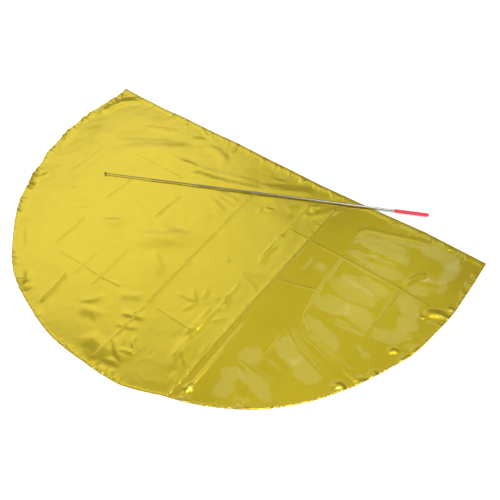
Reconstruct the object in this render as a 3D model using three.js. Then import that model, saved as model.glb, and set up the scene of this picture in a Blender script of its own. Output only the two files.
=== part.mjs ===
// A half-circle worship flag in golden lame cloth, laid flat, with its telescopic rod lying loose on it.
// Millimetres, +Z up. Inside this file X runs along the flag's straight edge and the cloth lies towards -Y;
// the last lines move everything so that the origin is under the middle of the whole part.
import * as THREE from 'three';

// Cloth: a half circle with short straight sides between it and the straight edge.
const RADIUS = 830;
const SIDE = 245;
const CLOTH_THICK = 1.2;
const HEM = { wide: 7, thick: 2.2 };
const SLEEVE = { wide: 24, thick: 2.2, foot: 28, step: 45 };
const SEAM = { x: 287, gap: 0.3, high: 0.6, pucker: 1.6, pitch: 30, reach: 16 };
const ARC = Math.PI * RADIUS;
const EDGE_LENGTH = 2 * SIDE + ARC;

// Spacings of the points that the cloth's faces are drawn between, and the strip at its rim that only
// the outline's own points may use.
const EDGE_STEP = 34;
const FOLD_STEP = 48;
const PUCKER_STEP = 14;
const FILL_STEP = 76;
const RIM = 3;
const LOWEST = -(SIDE + RADIUS);

// Rod: it lies level, from the knob at its tip to the red grip.
const ROD = { tip: [-521.9, -437.9], yaw: 25.56, high: 7.0, overlap: 18, wall: 0.3, sides: 16 };
const GRIP = { long: 123.4, radius: 6.4, bore: 4.8, boreDepth: 113 };
const KNOB = { long: 8, radius: 4.5, gap: 0.3 };
const TUBES = [
  { name: 'tube_1', visible: 193, radius: 4.5 },
  { name: 'tube_2', visible: 191, radius: 3.9 },
  { name: 'tube_3', visible: 172, radius: 3.3 },
  { name: 'tube_4', visible: 174, radius: 2.7 },
  { name: 'tube_5', visible: 177, radius: 2.1 },
  { name: 'tube_6', visible: 175, radius: 1.5 },
];
const ROD_BED = { half: 10, top: 2.2, slope: 0.15, step: 44 };

// How far the curved edge stands out from the true curve. "along" is the way round the edge from the left
// corner, down the side, round the arc and up to the right corner.
const OUTLINE = [
  { along: 0, out: -7 }, { along: 50, out: -14 }, { along: 120, out: -7 }, { along: 200, out: 2 },
  { along: 245, out: 0 }, { along: 300, out: -5 }, { along: 345, out: -1 }, { along: 404, out: -9 },
  { along: 491, out: -6 }, { along: 535, out: -14 }, { along: 622, out: -7 }, { along: 665, out: -10 },
  { along: 752, out: -3 }, { along: 926, out: -2 }, { along: 1100, out: 10 }, { along: 1274, out: 4 },
  { along: 1404, out: 6 }, { along: 1549, out: 0 }, { along: 1694, out: 7 }, { along: 1824, out: -7 },
  { along: 1925, out: -2 }, { along: 2099, out: 4 }, { along: 2230, out: 1 }, { along: 2360, out: -5 },
  { along: 2534, out: -9 }, { along: 2621, out: -3 }, { along: 2737, out: -6 }, { along: 2852, out: 1 },
  { along: 3000, out: 2 }, { along: 3097, out: 0 },
];

// How far the straight edge wanders, by its place along X. It fades out over STRAIGHT_FADE.
const STRAIGHT = [
  { x: -830, bow: 7 }, { x: -740, bow: 3 }, { x: -580, bow: -1 }, { x: -500, bow: 3 }, { x: -340, bow: 0 },
  { x: -220, bow: 3 }, { x: -60, bow: -2 }, { x: 180, bow: -6 }, { x: 340, bow: -2 }, { x: 500, bow: 4 },
  { x: 600, bow: 8 }, { x: 700, bow: 4 }, { x: 830, bow: -1 },
];
const STRAIGHT_FADE = 150;

// Ruffles in the narrow hem: runs of small waves at the edge that die out "deep" into the cloth. "slant"
// is how far a wave moves along the edge for each millimetre inwards.
const RUFFLES = [
  { from: 15, to: 165, count: 3, high: 5, deep: 60, slant: 0.7 },
  { from: 185, to: 268, count: 2, high: 8, deep: 34, slant: 0 },
  { from: 292, to: 420, count: 4, high: 7, deep: 56, slant: 0.8 },
  { from: 425, to: 540, count: 4, high: 4, deep: 34, slant: 0.6 },
  { from: 560, to: 705, count: 4, high: 8, deep: 50, slant: 0.5 },
  { from: 725, to: 820, count: 3, high: 4, deep: 42, slant: 0.4 },
  { from: 1000, to: 1075, count: 2, high: 4, deep: 40, slant: 0.3 },
  { from: 1118, to: 1195, count: 2, high: 6, deep: 62, slant: 0.3 },
  { from: 1275, to: 1325, count: 1, high: 4, deep: 36, slant: 0 },
  { from: 1420, to: 1540, count: 3, high: 3, deep: 30, slant: 0 },
  { from: 1565, to: 1700, count: 4, high: 5, deep: 46, slant: 0 },
  { from: 1868, to: 1915, count: 1, high: 6, deep: 40, slant: 0 },
  { from: 2035, to: 2090, count: 1, high: 6, deep: 40, slant: 0 },
  { from: 2325, to: 2385, count: 1, high: 9, deep: 48, slant: 0 },
  { from: 2410, to: 2500, count: 2, high: 6, deep: 36, slant: 0 },
  { from: 2560, to: 2670, count: 2, high: 7, deep: 40, slant: -0.3 },
  { from: 2755, to: 2835, count: 2, high: 9, deep: 54, slant: -0.3 },
  { from: 2900, to: 3050, count: 3, high: 3, deep: 30, slant: 0 },
];

// Creases left by packing the cloth in a folded square: straight, sharp and low.
const CREASES = [
  { route: [[-628, -310], [-628, -560]], high: 1.2, half: 11 },
  { route: [[-418, -370], [-418, -510]], high: 1.6, half: 10 },
  { route: [[-418, -640], [-418, -790]], high: 1.6, half: 10 },
  { route: [[-213, -380], [-213, -500]], high: 1.4, half: 10 },
  { route: [[-190, -650], [-190, -870]], high: 1.6, half: 10 },
  { route: [[-272, -740], [-266, -900], [-270, -1005]], high: 2.2, half: 12 },
  { route: [[-4, -190], [2, -400], [7, -620]], high: 2.6, half: 11 },
  { route: [[7, -620], [12, -800], [15, -1025]], high: 3.0, half: 12 },
  { route: [[193, -105], [195, -300]], high: 2.0, half: 11 },
  { route: [[196, -290], [203, -390], [210, -470]], high: 4.0, half: 18 },
  { route: [[206, -560], [212, -660], [208, -1000]], high: 2.2, half: 12 },
  { route: [[312, -680], [316, -990]], high: 3.6, half: 11 },
  { route: [[420, -250], [432, -390], [446, -530]], high: 2.4, half: 11 },
  { route: [[432, -580], [432, -790]], high: 1.8, half: 11 },
  { route: [[645, -120], [645, -550]], high: 2.0, half: 11 },
  { route: [[-480, -287], [-260, -287]], high: 1.4, half: 10 },
  { route: [[296, -267], [730, -270]], high: 1.8, half: 10 },
  { route: [[110, -265], [280, -268]], high: 1.6, half: 10 },
  { route: [[-400, -802], [-10, -800]], high: 1.6, half: 10 },
  { route: [[25, -800], [278, -800]], high: 1.6, half: 10 },
  { route: [[400, -800], [500, -800]], high: 1.6, half: 10 },
];

// Soft folds and wrinkles where the cloth lies loose.
const FOLDS = [
  { route: [[-565, -280], [-400, -175], [-320, -112]], high: 4.5, half: 20 },
  { route: [[-715, -45], [-752, -60], [-752, -88], [-775, -110], [-780, -165]], high: 5.5, half: 15 },
  { route: [[-590, -130], [-440, -80]], high: 3.0, half: 20 },
  { route: [[-330, -75], [-170, -130]], high: 2.5, half: 18 },
  { route: [[-420, -206], [-200, -190], [-30, -140], [110, -62]], high: 4.5, half: 20 },
  { route: [[-300, -240], [-230, -226], [-90, -185]], high: 3.0, half: 15 },
  { route: [[-400, -450], [-300, -485], [-200, -513], [-100, -508], [-15, -470]], high: 3.0, half: 17 },
  { route: [[-265, -630], [-130, -572], [-60, -532], [-15, -505]], high: 3.0, half: 16 },
  { route: [[-400, -640], [-260, -560]], high: 2.0, half: 16 },
  { route: [[-130, -610], [-10, -688]], high: 2.2, half: 14 },
  { route: [[-90, -790], [-45, -850]], high: 3.5, half: 18 },
  { route: [[-165, -915], [-130, -872], [-20, -878]], high: 3.5, half: 18 },
  { route: [[215, -190], [262, -150], [275, -75]], high: 4.5, half: 20 },
  { route: [[205, -515], [278, -482]], high: 2.5, half: 13 },
  { route: [[295, -476], [425, -432]], high: 3.0, half: 12 },
  { route: [[100, -610], [150, -655], [190, -640]], high: 3.5, half: 16 },
  { route: [[60, -700], [120, -680], [170, -700]], high: 3.0, half: 16 },
  { route: [[40, -845], [110, -850]], high: 3.0, half: 18 },
  { route: [[30, -900], [70, -940], [100, -975]], high: 5.0, half: 18 },
  { route: [[35, -1010], [90, -1035]], high: 4.5, half: 18 },
  { route: [[-405, -925], [-345, -985]], high: 5.0, half: 18 },
  { route: [[262, -880], [270, -985]], high: 4.0, half: 15 },
  { route: [[415, -165], [413, -122], [440, -98], [560, -72], [690, -45]], high: 4.0, half: 16 },
  { route: [[340, -310], [340, -380]], high: 3.0, half: 12 },
  { route: [[685, -140], [672, -195], [655, -250]], high: 4.5, half: 16 },
  { route: [[585, -585], [650, -622], [725, -655]], high: 3.5, half: 14 },
  { route: [[420, -590], [520, -640], [640, -690]], high: 3.0, half: 18 },
];

// Puckers under the stitched line of the pole sleeve.
const PUCKERS = [
  { x: -648, deep: 62 }, { x: -550, deep: 56 }, { x: -465, deep: 64 }, { x: -392, deep: 60 },
  { x: -210, deep: 58 }, { x: -158, deep: 56 }, { x: -92, deep: 66 }, { x: -30, deep: 58 },
  { x: 34, deep: 62 }, { x: 96, deep: 56 }, { x: 186, deep: 62 }, { x: 236, deep: 66 },
];
const PUCKER = { high: 2.0, half: 9 };

// Broad, low swellings where air is caught under the cloth. "long" and "wide" are half lengths.
const SWELLS = [
  { x: 520, y: -165, long: 105, wide: 45, turn: 8, high: 4.0 },
  { x: 525, y: -345, long: 105, wide: 55, turn: -12, high: 4.0 },
  { x: 745, y: -150, long: 60, wide: 100, turn: -10, high: 4.5 },
  { x: 720, y: -370, long: 55, wide: 75, turn: 5, high: 3.5 },
  { x: 545, y: -470, long: 95, wide: 38, turn: 14, high: 3.5 },
  { x: 530, y: -725, long: 90, wide: 55, turn: -15, high: 4.0 },
  { x: 385, y: -850, long: 60, wide: 80, turn: 30, high: 4.0 },
  { x: 140, y: -250, long: 90, wide: 60, turn: 20, high: 3.0 },
  { x: -470, y: -640, long: 110, wide: 80, turn: 30, high: 2.5 },
];

// Value of a table at a place, in a straight line between its rows.
function lookUp(rows, key, value, place) {
  const next = rows.findIndex((row) => row[key] > place);
  if (next < 0) return rows[rows.length - 1][value];
  if (next === 0) return rows[0][value];
  const a = rows[next - 1];
  const b = rows[next];
  return a[value] + (b[value] - a[value]) * (place - a[key]) / (b[key] - a[key]);
}

// Edge frame of the curved hem: how far round it a place is, and how far in from it.
function edgePoint(along, inset) {
  const reach = RADIUS + lookUp(OUTLINE, 'along', 'out', along) - inset;
  if (along < SIDE) return [-reach, -along];
  if (along > SIDE + ARC) return [reach, along - EDGE_LENGTH];
  const turn = (along - SIDE) / RADIUS;
  return [-reach * Math.cos(turn), -SIDE - reach * Math.sin(turn)];
}

function nearEdge(x, y) {
  const onSide = y > -SIDE;
  const besideAlong = x < 0 ? -y : EDGE_LENGTH + y;
  const along = onSide ? besideAlong : SIDE + RADIUS * Math.atan2(-SIDE - y, -x);
  const reach = onSide ? Math.abs(x) : Math.hypot(x, y + SIDE);
  return { along, inset: RADIUS + lookUp(OUTLINE, 'along', 'out', along) - reach };
}

// Where the curved edge passes a given X, on the lower half of the flag.
function alongAtX(x) {
  let along = SIDE + ARC / 2;
  for (let pass = 0; pass < 6; pass += 1) {
    const reach = RADIUS + lookUp(OUTLINE, 'along', 'out', along);
    along = SIDE + RADIUS * Math.acos(-x / reach);
  }
  return along;
}

// Nearest place on a route: distance from it, and distance from its nearer end.
function nearRoute(route, x, y) {
  let best = { off: Infinity, gone: 0 };
  let gone = 0;
  for (let i = 1; i < route.length; i += 1) {
    const [ax, ay] = route[i - 1];
    const [bx, by] = route[i];
    const long = Math.hypot(bx - ax, by - ay);
    const t = THREE.MathUtils.clamp(((x - ax) * (bx - ax) + (y - ay) * (by - ay)) / (long * long), 0, 1);
    const off = Math.hypot(x - ax - t * (bx - ax), y - ay - t * (by - ay));
    if (off < best.off) best = { off, gone: gone + t * long };
    gone += long;
  }
  return { off: best.off, fromEnd: Math.min(best.gone, gone - best.gone) };
}

// Lift of the cloth off the floor by each kind of unevenness.
function foldLift(fold, x, y) {
  const { off, fromEnd } = nearRoute(fold.route, x, y);
  if (off >= fold.half) return 0;
  const fade = Math.min(1, (fromEnd + 1) / (2 * fold.half));
  return fold.high * fade * (1 - off / fold.half);
}

function ruffleLift(run, along, inset) {
  const part = (along - run.slant * inset - run.from) / (run.to - run.from);
  if (part <= 0 || part >= 1 || inset >= run.deep) return 0;
  const wave = 0.5 - 0.5 * Math.cos(2 * Math.PI * run.count * part);
  return run.high * wave * (1 - inset / run.deep) ** 2;
}

function swellLift(swell, x, y) {
  const turn = THREE.MathUtils.degToRad(swell.turn);
  const dx = x - swell.x;
  const dy = y - swell.y;
  const u = (dx * Math.cos(turn) + dy * Math.sin(turn)) / swell.long;
  const v = (dy * Math.cos(turn) - dx * Math.sin(turn)) / swell.wide;
  return swell.high * Math.max(0, 1 - u * u - v * v) ** 2;
}

function seamLift(x, y) {
  const fade = Math.max(0, 1 - Math.abs(x - SEAM.x) / SEAM.reach);
  const wave = 0.5 - 0.5 * Math.cos(2 * Math.PI * y / SEAM.pitch);
  return fade * (SEAM.high + SEAM.pucker * wave);
}

// The rod's own frame: +Y runs along it, from the front of the grip towards the tip.
const rodLength = TUBES.reduce((sum, tube) => sum + tube.visible, 0) + KNOB.gap + KNOB.long;
const yaw = THREE.MathUtils.degToRad(ROD.yaw);
const rodStart = [ROD.tip[0] + rodLength * Math.cos(yaw), ROD.tip[1] + rodLength * Math.sin(yaw)];
const rodRoute = [ROD.tip, rodStart];

// Under the rod the cloth lies pressed down: how high its top may come there.
function rodCap(x, y) {
  const { off } = nearRoute(rodRoute, x, y);
  return ROD_BED.top + ROD_BED.slope * Math.max(0, off - ROD_BED.half);
}

const puckerFolds = PUCKERS.map(({ x, deep }) => ({ route: [[x, -SLEEVE.foot], [x, -deep]], ...PUCKER }));
const allFolds = [...CREASES, ...FOLDS, ...puckerFolds];

function lift(x, y) {
  const { along, inset } = nearEdge(x, y);
  let high = seamLift(x, y);
  for (const fold of allFolds) high += foldLift(fold, x, y);
  for (const run of RUFFLES) high += ruffleLift(run, along, inset);
  for (const swell of SWELLS) high += swellLift(swell, x, y);
  return Math.min(high, rodCap(x, y) - thickness(x, y));
}

function thickness(x, y) {
  if (y > -SLEEVE.wide - 1) return SLEEVE.thick;
  return nearEdge(x, y).inset < HEM.wide / 2 ? HEM.thick : CLOTH_THICK;
}

function bow(x, y) {
  return lookUp(STRAIGHT, 'x', 'bow', x) * Math.max(0, 1 + y / STRAIGHT_FADE);
}

// Numbers from one to another, in equal steps no longer than the one given.
function spread(from, to, step) {
  const count = Math.max(1, Math.ceil(Math.abs(to - from) / step));
  return Array.from({ length: count + 1 }, (_, i) => from + (to - from) * i / count);
}

// Stations round the curved edge: at the top and foot of each ruffle, and evenly between.
function edgeStations(from, to) {
  const marks = [from, to];
  for (const run of RUFFLES) {
    for (const mark of spread(run.from, run.to, (run.to - run.from) / (2 * run.count) + 0.01)) {
      if (mark > from + HEM.wide && mark < to - HEM.wide) marks.push(mark);
    }
  }
  marks.sort((a, b) => a - b);
  const stations = [from];
  for (let i = 1; i < marks.length; i += 1) {
    stations.push(...spread(marks[i - 1], marks[i], EDGE_STEP).slice(1));
  }
  return stations;
}

// The points of one panel. Each new point keeps clear of those before it.
class PanelPoints {
  constructor(contains) {
    this.contains = contains;
    this.points = [];
  }

  add(x, y, clear) {
    if (!this.contains(x, y)) return;
    const crowded = this.points.some(([px, py]) => Math.hypot(px - x, py - y) < clear);
    if (!crowded) this.points.push([x, y]);
  }

  addBeside(route, step, half, clear) {
    for (let i = 1; i < route.length; i += 1) {
      const [ax, ay] = route[i - 1];
      const [bx, by] = route[i];
      const long = Math.hypot(bx - ax, by - ay);
      const side = [-(by - ay) / long * half, (bx - ax) / long * half];
      const stops = spread(0, 1, step / long);
      for (let k = 1; k < stops.length; k += 1) {
        const t = (stops[k - 1] + stops[k]) / 2;
        const x = ax + (bx - ax) * t;
        const y = ay + (by - ay) * t;
        this.add(x + side[0], y + side[1], clear);
        this.add(x - side[0], y - side[1], clear);
      }
    }
  }

  addAlong(route, step, clear) {
    for (let i = 1; i < route.length; i += 1) {
      const [ax, ay] = route[i - 1];
      const [bx, by] = route[i];
      const long = Math.hypot(bx - ax, by - ay);
      for (const t of spread(0, 1, step / long)) this.add(ax + (bx - ax) * t, ay + (by - ay) * t, clear);
    }
  }
}

function panelPoints(panel) {
  const set = new PanelPoints(panel.contains);
  set.points.push(...panel.ring);
  panel.stations.slice(1).forEach((along, i) => {
    const middle = (along + panel.stations[i]) / 2;
    set.add(...edgePoint(middle, HEM.wide), RIM);
  });
  for (const x of spread(panel.left, panel.right, SLEEVE.step)) set.add(x, -SLEEVE.wide, RIM);
  for (const pucker of puckerFolds) set.addAlong(pucker.route, PUCKER_STEP, PUCKER.half / 2);
  for (const x of spread(panel.left + SLEEVE.step / 2, panel.right, SLEEVE.step)) set.add(x, -SLEEVE.foot, RIM);
  const seamSide = SEAM.x + (panel.right > SEAM.x ? SEAM.reach : -SEAM.reach);
  for (const y of spread(-SLEEVE.foot - SEAM.reach / 2, LOWEST, SEAM.pitch)) {
    set.add(seamSide, y, SEAM.reach / 2);
  }
  for (const run of RUFFLES) {
    const wave = (run.to - run.from) / (2 * run.count);
    for (const inset of [run.deep / 2, run.deep]) {
      for (const along of spread(run.from, run.to, wave + 0.01)) {
        set.add(...edgePoint(along + run.slant * inset, inset), 9);
      }
    }
  }
  set.addBeside(rodRoute, ROD_BED.step, ROD_BED.half, 6);
  for (const fold of allFolds) set.addAlong(fold.route, FOLD_STEP, 7);
  for (const fold of allFolds) set.addBeside(fold.route, FOLD_STEP, fold.half, 7);
  for (const swell of SWELLS) addSwellPoints(set, swell);
  addFillPoints(set, panel);
  return set.points;
}

function addSwellPoints(set, swell) {
  const turn = THREE.MathUtils.degToRad(swell.turn);
  for (const [share, count] of [[0, 1], [0.5, 6], [1, 8]]) {
    for (let i = 0; i < count; i += 1) {
      const angle = 2 * Math.PI * (i + share) / count;
      const u = share * swell.long * Math.cos(angle);
      const v = share * swell.wide * Math.sin(angle);
      const x = swell.x + u * Math.cos(turn) - v * Math.sin(turn);
      const y = swell.y + u * Math.sin(turn) + v * Math.cos(turn);
      set.add(x, y, 18);
    }
  }
}

function addFillPoints(set, panel) {
  const rowStep = FILL_STEP * Math.sqrt(3) / 2;
  let row = 0;
  for (let y = -FILL_STEP; y > LOWEST; y -= rowStep) {
    const shift = row % 2 === 0 ? 0 : FILL_STEP / 2;
    for (let x = panel.left + shift; x < panel.right; x += FILL_STEP) set.add(x, y, FILL_STEP / 2);
    row += 1;
  }
}

// Delaunay triangles of the points, by adding one point at a time.
function circled(points, a, b, c) {
  const [ax, ay] = points[a];
  const [bx, by] = [points[b][0] - ax, points[b][1] - ay];
  const [cx, cy] = [points[c][0] - ax, points[c][1] - ay];
  const twice = 2 * (bx * cy - by * cx);
  const ux = (cy * (bx * bx + by * by) - by * (cx * cx + cy * cy)) / twice;
  const uy = (bx * (cx * cx + cy * cy) - cx * (bx * bx + by * by)) / twice;
  return { corners: [a, b, c], x: ax + ux, y: ay + uy, square: ux * ux + uy * uy };
}

function triangulate(points) {
  const far = 50 * RADIUS;
  const all = [...points, [-far, -far], [far, -far], [0, far]];
  const count = points.length;
  let triangles = [circled(all, count, count + 1, count + 2)];
  points.forEach(([x, y], index) => {
    const kept = [];
    const rim = new Map();
    for (const triangle of triangles) {
      if ((x - triangle.x) ** 2 + (y - triangle.y) ** 2 >= triangle.square) {
        kept.push(triangle);
        continue;
      }
      triangle.corners.forEach((from, i) => {
        const to = triangle.corners[(i + 1) % 3];
        if (!rim.delete(`${to} ${from}`)) rim.set(`${from} ${to}`, [from, to]);
      });
    }
    for (const [from, to] of rim.values()) kept.push(circled(all, from, to, index));
    triangles = kept;
  });
  return triangles.map(({ corners }) => corners).filter((corners) => Math.max(...corners) < count);
}

function insideRing(ring, x, y) {
  let inside = false;
  ring.forEach(([bx, by], i) => {
    const [ax, ay] = ring[(i + ring.length - 1) % ring.length];
    const crosses = (ay > y) !== (by > y) && x < ax + (bx - ax) * (y - ay) / (by - ay);
    if (crosses) inside = !inside;
  });
  return inside;
}

// A closed sheet: its underside follows the lift, and its top lies one thickness above.
function sheetGeometry(points, triangles) {
  const count = points.length;
  const position = [];
  for (const layer of [1, 0]) {
    for (const [x, y] of points) {
      position.push(x, y + bow(x, y), lift(x, y) + layer * thickness(x, y));
    }
  }
  const index = [];
  const rim = new Map();
  for (const [a, b, c] of triangles) {
    index.push(a, b, c, a + count, c + count, b + count);
    for (const [from, to] of [[a, b], [b, c], [c, a]]) {
      if (!rim.delete(`${to} ${from}`)) rim.set(`${from} ${to}`, [from, to]);
    }
  }
  for (const [from, to] of rim.values()) {
    index.push(from, from + count, to, to, from + count, to + count);
  }
  const geometry = new THREE.BufferGeometry();
  geometry.setAttribute('position', new THREE.Float32BufferAttribute(position, 3));
  geometry.setIndex(index);
  geometry.computeVertexNormals();
  return geometry;
}

// A panel's ring of outline points, anticlockwise, starting at the left end of its straight edge.
function makePanel(left, right) {
  const from = left < 0 ? 0 : alongAtX(left);
  const to = right > SEAM.x ? EDGE_LENGTH : alongAtX(right);
  const stations = edgeStations(from, to);
  const curved = stations.map((along) => edgePoint(along, 0));
  const bottomOfSeam = left < 0 ? curved[curved.length - 1][1] : curved[0][1];
  const seamSteps = spread(0, bottomOfSeam, SEAM.pitch / 2).slice(1, -1);
  const seam = seamSteps.map((y) => [left < 0 ? right : left, y]);
  const straight = spread(right, left, SLEEVE.step).slice(1, -1).map((x) => [x, 0]);
  const seamEnd = [[left < 0 ? right : left, 0]];
  const ring = left < 0
    ? [...curved, ...seam.reverse(), ...seamEnd, ...straight]
    : [...curved, ...straight, ...seamEnd, ...seam];
  const contains = (x, y) => {
    const { inset } = nearEdge(x, y);
    return inset > RIM && y < -RIM && (left < 0 ? x < right - RIM : x > left + RIM);
  };
  return { left, right, stations, ring, contains };
}

function clothMesh(name, left, right, finish) {
  const panel = makePanel(left, right);
  const points = panelPoints(panel);
  const triangles = triangulate(points).filter((corners) => {
    const x = corners.reduce((sum, i) => sum + points[i][0], 0) / 3;
    const y = corners.reduce((sum, i) => sum + points[i][1], 0) / 3;
    return insideRing(panel.ring, x, y);
  });
  const mesh = new THREE.Mesh(sheetGeometry(points, triangles), new THREE.MeshStandardMaterial(finish));
  mesh.name = name;
  return mesh;
}

// A turned piece of the rod from its profile of [radius, place along the rod].
function turned(name, profile, finish) {
  const points = profile.map(([radius, place]) => new THREE.Vector2(radius, place));
  const mesh = new THREE.Mesh(new THREE.LatheGeometry(points, ROD.sides), new THREE.MeshStandardMaterial(finish));
  mesh.name = name;
  return mesh;
}

const STEEL = { color: 0x8f8f92, roughness: 0.25, metalness: 1 };
const RED = { color: 0xf0384c, roughness: 0.55, metalness: 0 };
const LAME = { color: 0xe5d03c, roughness: 0.35, metalness: 0.4 };
const LAME_ACROSS = { color: 0xb2a01e, roughness: 0.22, metalness: 0.5 };

// One tube of the telescope: open at both ends, its mouth slightly drawn in.
function tubeProfile(back, front, radius) {
  const inner = radius - ROD.wall;
  return [
    [radius, back], [radius, front - 1.5], [radius - 0.15, front], [inner, front], [inner, back], [radius, back],
  ];
}

function gripProfile() {
  const { long, radius, bore, boreDepth } = GRIP;
  return [
    [0, -long], [radius * 0.5, 0.6 - long], [radius * 0.86, 2.6 - long], [radius, 6 - long],
    [radius, -4], [radius - 0.5, -1], [radius - 1.1, 0], [bore, 0], [bore, -boreDepth], [0, -boreDepth],
  ];
}

function knobProfile(back) {
  const r = KNOB.radius;
  return [
    [0, back], [r * 0.5, back], [r * 0.58, back + 1.2], [r * 0.9, back + 2.2], [r, back + 4],
    [r * 0.92, back + 5.8], [r * 0.6, back + KNOB.long - 0.6], [0, back + KNOB.long],
  ];
}

function makeRod() {
  const rod = new THREE.Group();
  rod.add(turned('grip', gripProfile(), RED));
  let mouth = 0;
  for (const { name, visible, radius } of TUBES) {
    const back = name === 'tube_1' ? 1 - GRIP.boreDepth : mouth - ROD.overlap;
    mouth += visible;
    rod.add(turned(name, tubeProfile(back, mouth, radius), STEEL));
  }
  rod.add(turned('tip_knob', knobProfile(mouth + KNOB.gap), STEEL));
  rod.position.set(rodStart[0], rodStart[1], ROD.high);
  rod.rotation.z = Math.PI / 2 + yaw;
  return rod;
}

const parts = new THREE.Group();
parts.add(clothMesh('main_panel', -RADIUS, SEAM.x - SEAM.gap / 2, LAME));
parts.add(clothMesh('side_panel', SEAM.x + SEAM.gap / 2, RADIUS, LAME_ACROSS));
parts.add(makeRod());
parts.updateMatrixWorld(true);

// The origin is on the floor under the middle of the part's box.
const box = new THREE.Box3().setFromObject(parts, true);
const middle = box.getCenter(new THREE.Vector3());
parts.position.set(-middle.x, -middle.y, -box.min.z);

const flag = new THREE.Group();
flag.add(parts);
export default flag;
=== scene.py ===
# %% [markdown]
# # A worship flag laid out on a studio floor
# The real object is a half circle of golden lame cloth, sewn from a big and a small panel, with a
# telescopic steel rod lying loose across it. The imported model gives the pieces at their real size.
# This lesson dresses it: fine cloth on the solids' folds, stitches, metal and vinyl.

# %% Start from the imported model
import math

import bpy
import numpy as np
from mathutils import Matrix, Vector
from mathutils.geometry import delaunay_2d_cdt


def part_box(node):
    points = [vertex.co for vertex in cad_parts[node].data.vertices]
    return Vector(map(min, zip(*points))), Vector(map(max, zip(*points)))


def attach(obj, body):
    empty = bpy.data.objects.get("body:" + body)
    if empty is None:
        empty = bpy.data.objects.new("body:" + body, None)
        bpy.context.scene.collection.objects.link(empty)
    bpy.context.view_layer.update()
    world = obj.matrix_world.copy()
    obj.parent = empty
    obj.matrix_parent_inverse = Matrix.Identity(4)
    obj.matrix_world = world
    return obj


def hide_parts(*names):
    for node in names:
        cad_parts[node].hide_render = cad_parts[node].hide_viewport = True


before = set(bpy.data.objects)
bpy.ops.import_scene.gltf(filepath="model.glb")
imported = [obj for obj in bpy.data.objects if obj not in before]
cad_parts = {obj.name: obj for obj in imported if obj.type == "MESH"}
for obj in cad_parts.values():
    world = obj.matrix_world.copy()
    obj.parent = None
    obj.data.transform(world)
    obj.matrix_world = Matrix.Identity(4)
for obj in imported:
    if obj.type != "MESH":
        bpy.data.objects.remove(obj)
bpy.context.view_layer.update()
MM = 0.001

# %% [markdown]
# ## Where the cloth lies
# Every place on the cloth is measured from the middle of its straight edge, with X along that edge and
# the cloth towards -Y. The model has its origin under the middle of the whole part instead. Two faces of
# the model tie the two together: the side panel's face in the seam, and the second tube of the rod, which
# is straight, so that its middle is a known distance along the rod.

# %% The flag's driving sizes, in millimetres
RADIUS = 830
SIDE = 245
SEAM = {"x": 287, "gap": 0.3, "high": 0.7, "pucker": 0.7, "reach": 18, "dip": 4.5, "flat": 0.3}
HEM = {"wide": 6.5, "high": 1.1, "uneven": 0.3}
SLEEVE = {"wide": 24, "high": 0.6, "edge": 6.0, "belly": 0.5, "foot": 2}
ARC = math.pi * RADIUS
EDGE_LENGTH = 2 * SIDE + ARC
ROD = {"tip": (-521.9, -437.9), "yaw": math.radians(25.56), "tube_2_middle": 810.8}

along_rod = np.array([math.cos(ROD["yaw"]), math.sin(ROD["yaw"])])
tube_low, tube_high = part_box("tube_2")
tube_middle_y = ROD["tip"][1] + ROD["tube_2_middle"] * along_rod[1]
shift_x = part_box("side_panel")[0].x / MM - SEAM["x"] - SEAM["gap"] / 2
shift_y = (tube_low.y + tube_high.y) / 2 / MM - tube_middle_y


def world_xy(x, y):
    """A place measured from the middle of the straight edge, in the model's metres."""
    return (x + shift_x) * MM, (y + shift_y) * MM


print("edge frame shift in mm", round(shift_x, 3), round(shift_y, 3))

# %% [markdown]
# ## The camera
# The photograph looks down on the flag from its right-hand side. The outline of the half circle and the
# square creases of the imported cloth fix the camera: they only look right from one place.

# %% Camera
VIEW = {"azimuth": 36.02, "elevation": 49.20, "distance": 2360.6, "target": (147.88, -420.16), "angle": 40.0}
SENSOR = 36


def add_object(name, data):
    thing = bpy.data.objects.new(name, data)
    bpy.context.scene.collection.objects.link(thing)
    return thing


def direction(azimuth, elevation):
    """The way from the flag to a place so many degrees round it and above the floor."""
    a = math.radians(azimuth)
    e = math.radians(elevation)
    return Vector((math.sin(a) * math.cos(e), -math.cos(a) * math.cos(e), math.sin(e)))


def make_camera():
    back = direction(VIEW["azimuth"], VIEW["elevation"])
    target = Vector((*world_xy(*VIEW["target"]), 0))
    data = bpy.data.cameras.new("studio_camera")
    data.sensor_width = SENSOR
    data.lens = SENSOR / 2 / math.tan(math.radians(VIEW["angle"] / 2))
    data.clip_end = 50
    camera = add_object("studio_camera", data)
    camera.location = target + back * VIEW["distance"] * MM
    camera.rotation_euler = (-back).to_track_quat("-Z", "Y").to_euler()
    bpy.context.scene.camera = camera
    return camera


camera = make_camera()
print("camera at", [round(v, 3) for v in camera.location])

# %% [markdown]
# ## The studio
# A pale floor runs out of the picture on all sides, and one broad sun lights it from behind. Metal cloth
# shows hardly any light of its own: it shows what it mirrors. So most of the lighting is a ceiling of soft
# boxes, and each is hung where the camera sees it mirrored at a chosen place on the cloth. Great boxes side
# by side make the main panel evenly bright, and small ones with dark gaps make the side panel's patches.

# %% Floor and sky
FLOOR = {"half": 14.0, "grey": 0.93, "rough": 0.9, "glow": 0.30}
SKY = {"level": 0.16, "seen": 1.0}


def table(columns, rows):
    """Rows with a name for each value. A row may leave its last value out."""
    return [dict(zip(columns.split(), row)) for row in rows]


BRIGHT_PARTS = table("azimuth elevation reach soft more", [
    (25.0, 0.0, 48.0, 14.0, 0.40),
    (278.0, 22.0, 22.0, 10.0, 0.45),
    (0.0, 90.0, 14.0, 8.0, 0.30),
])


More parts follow.
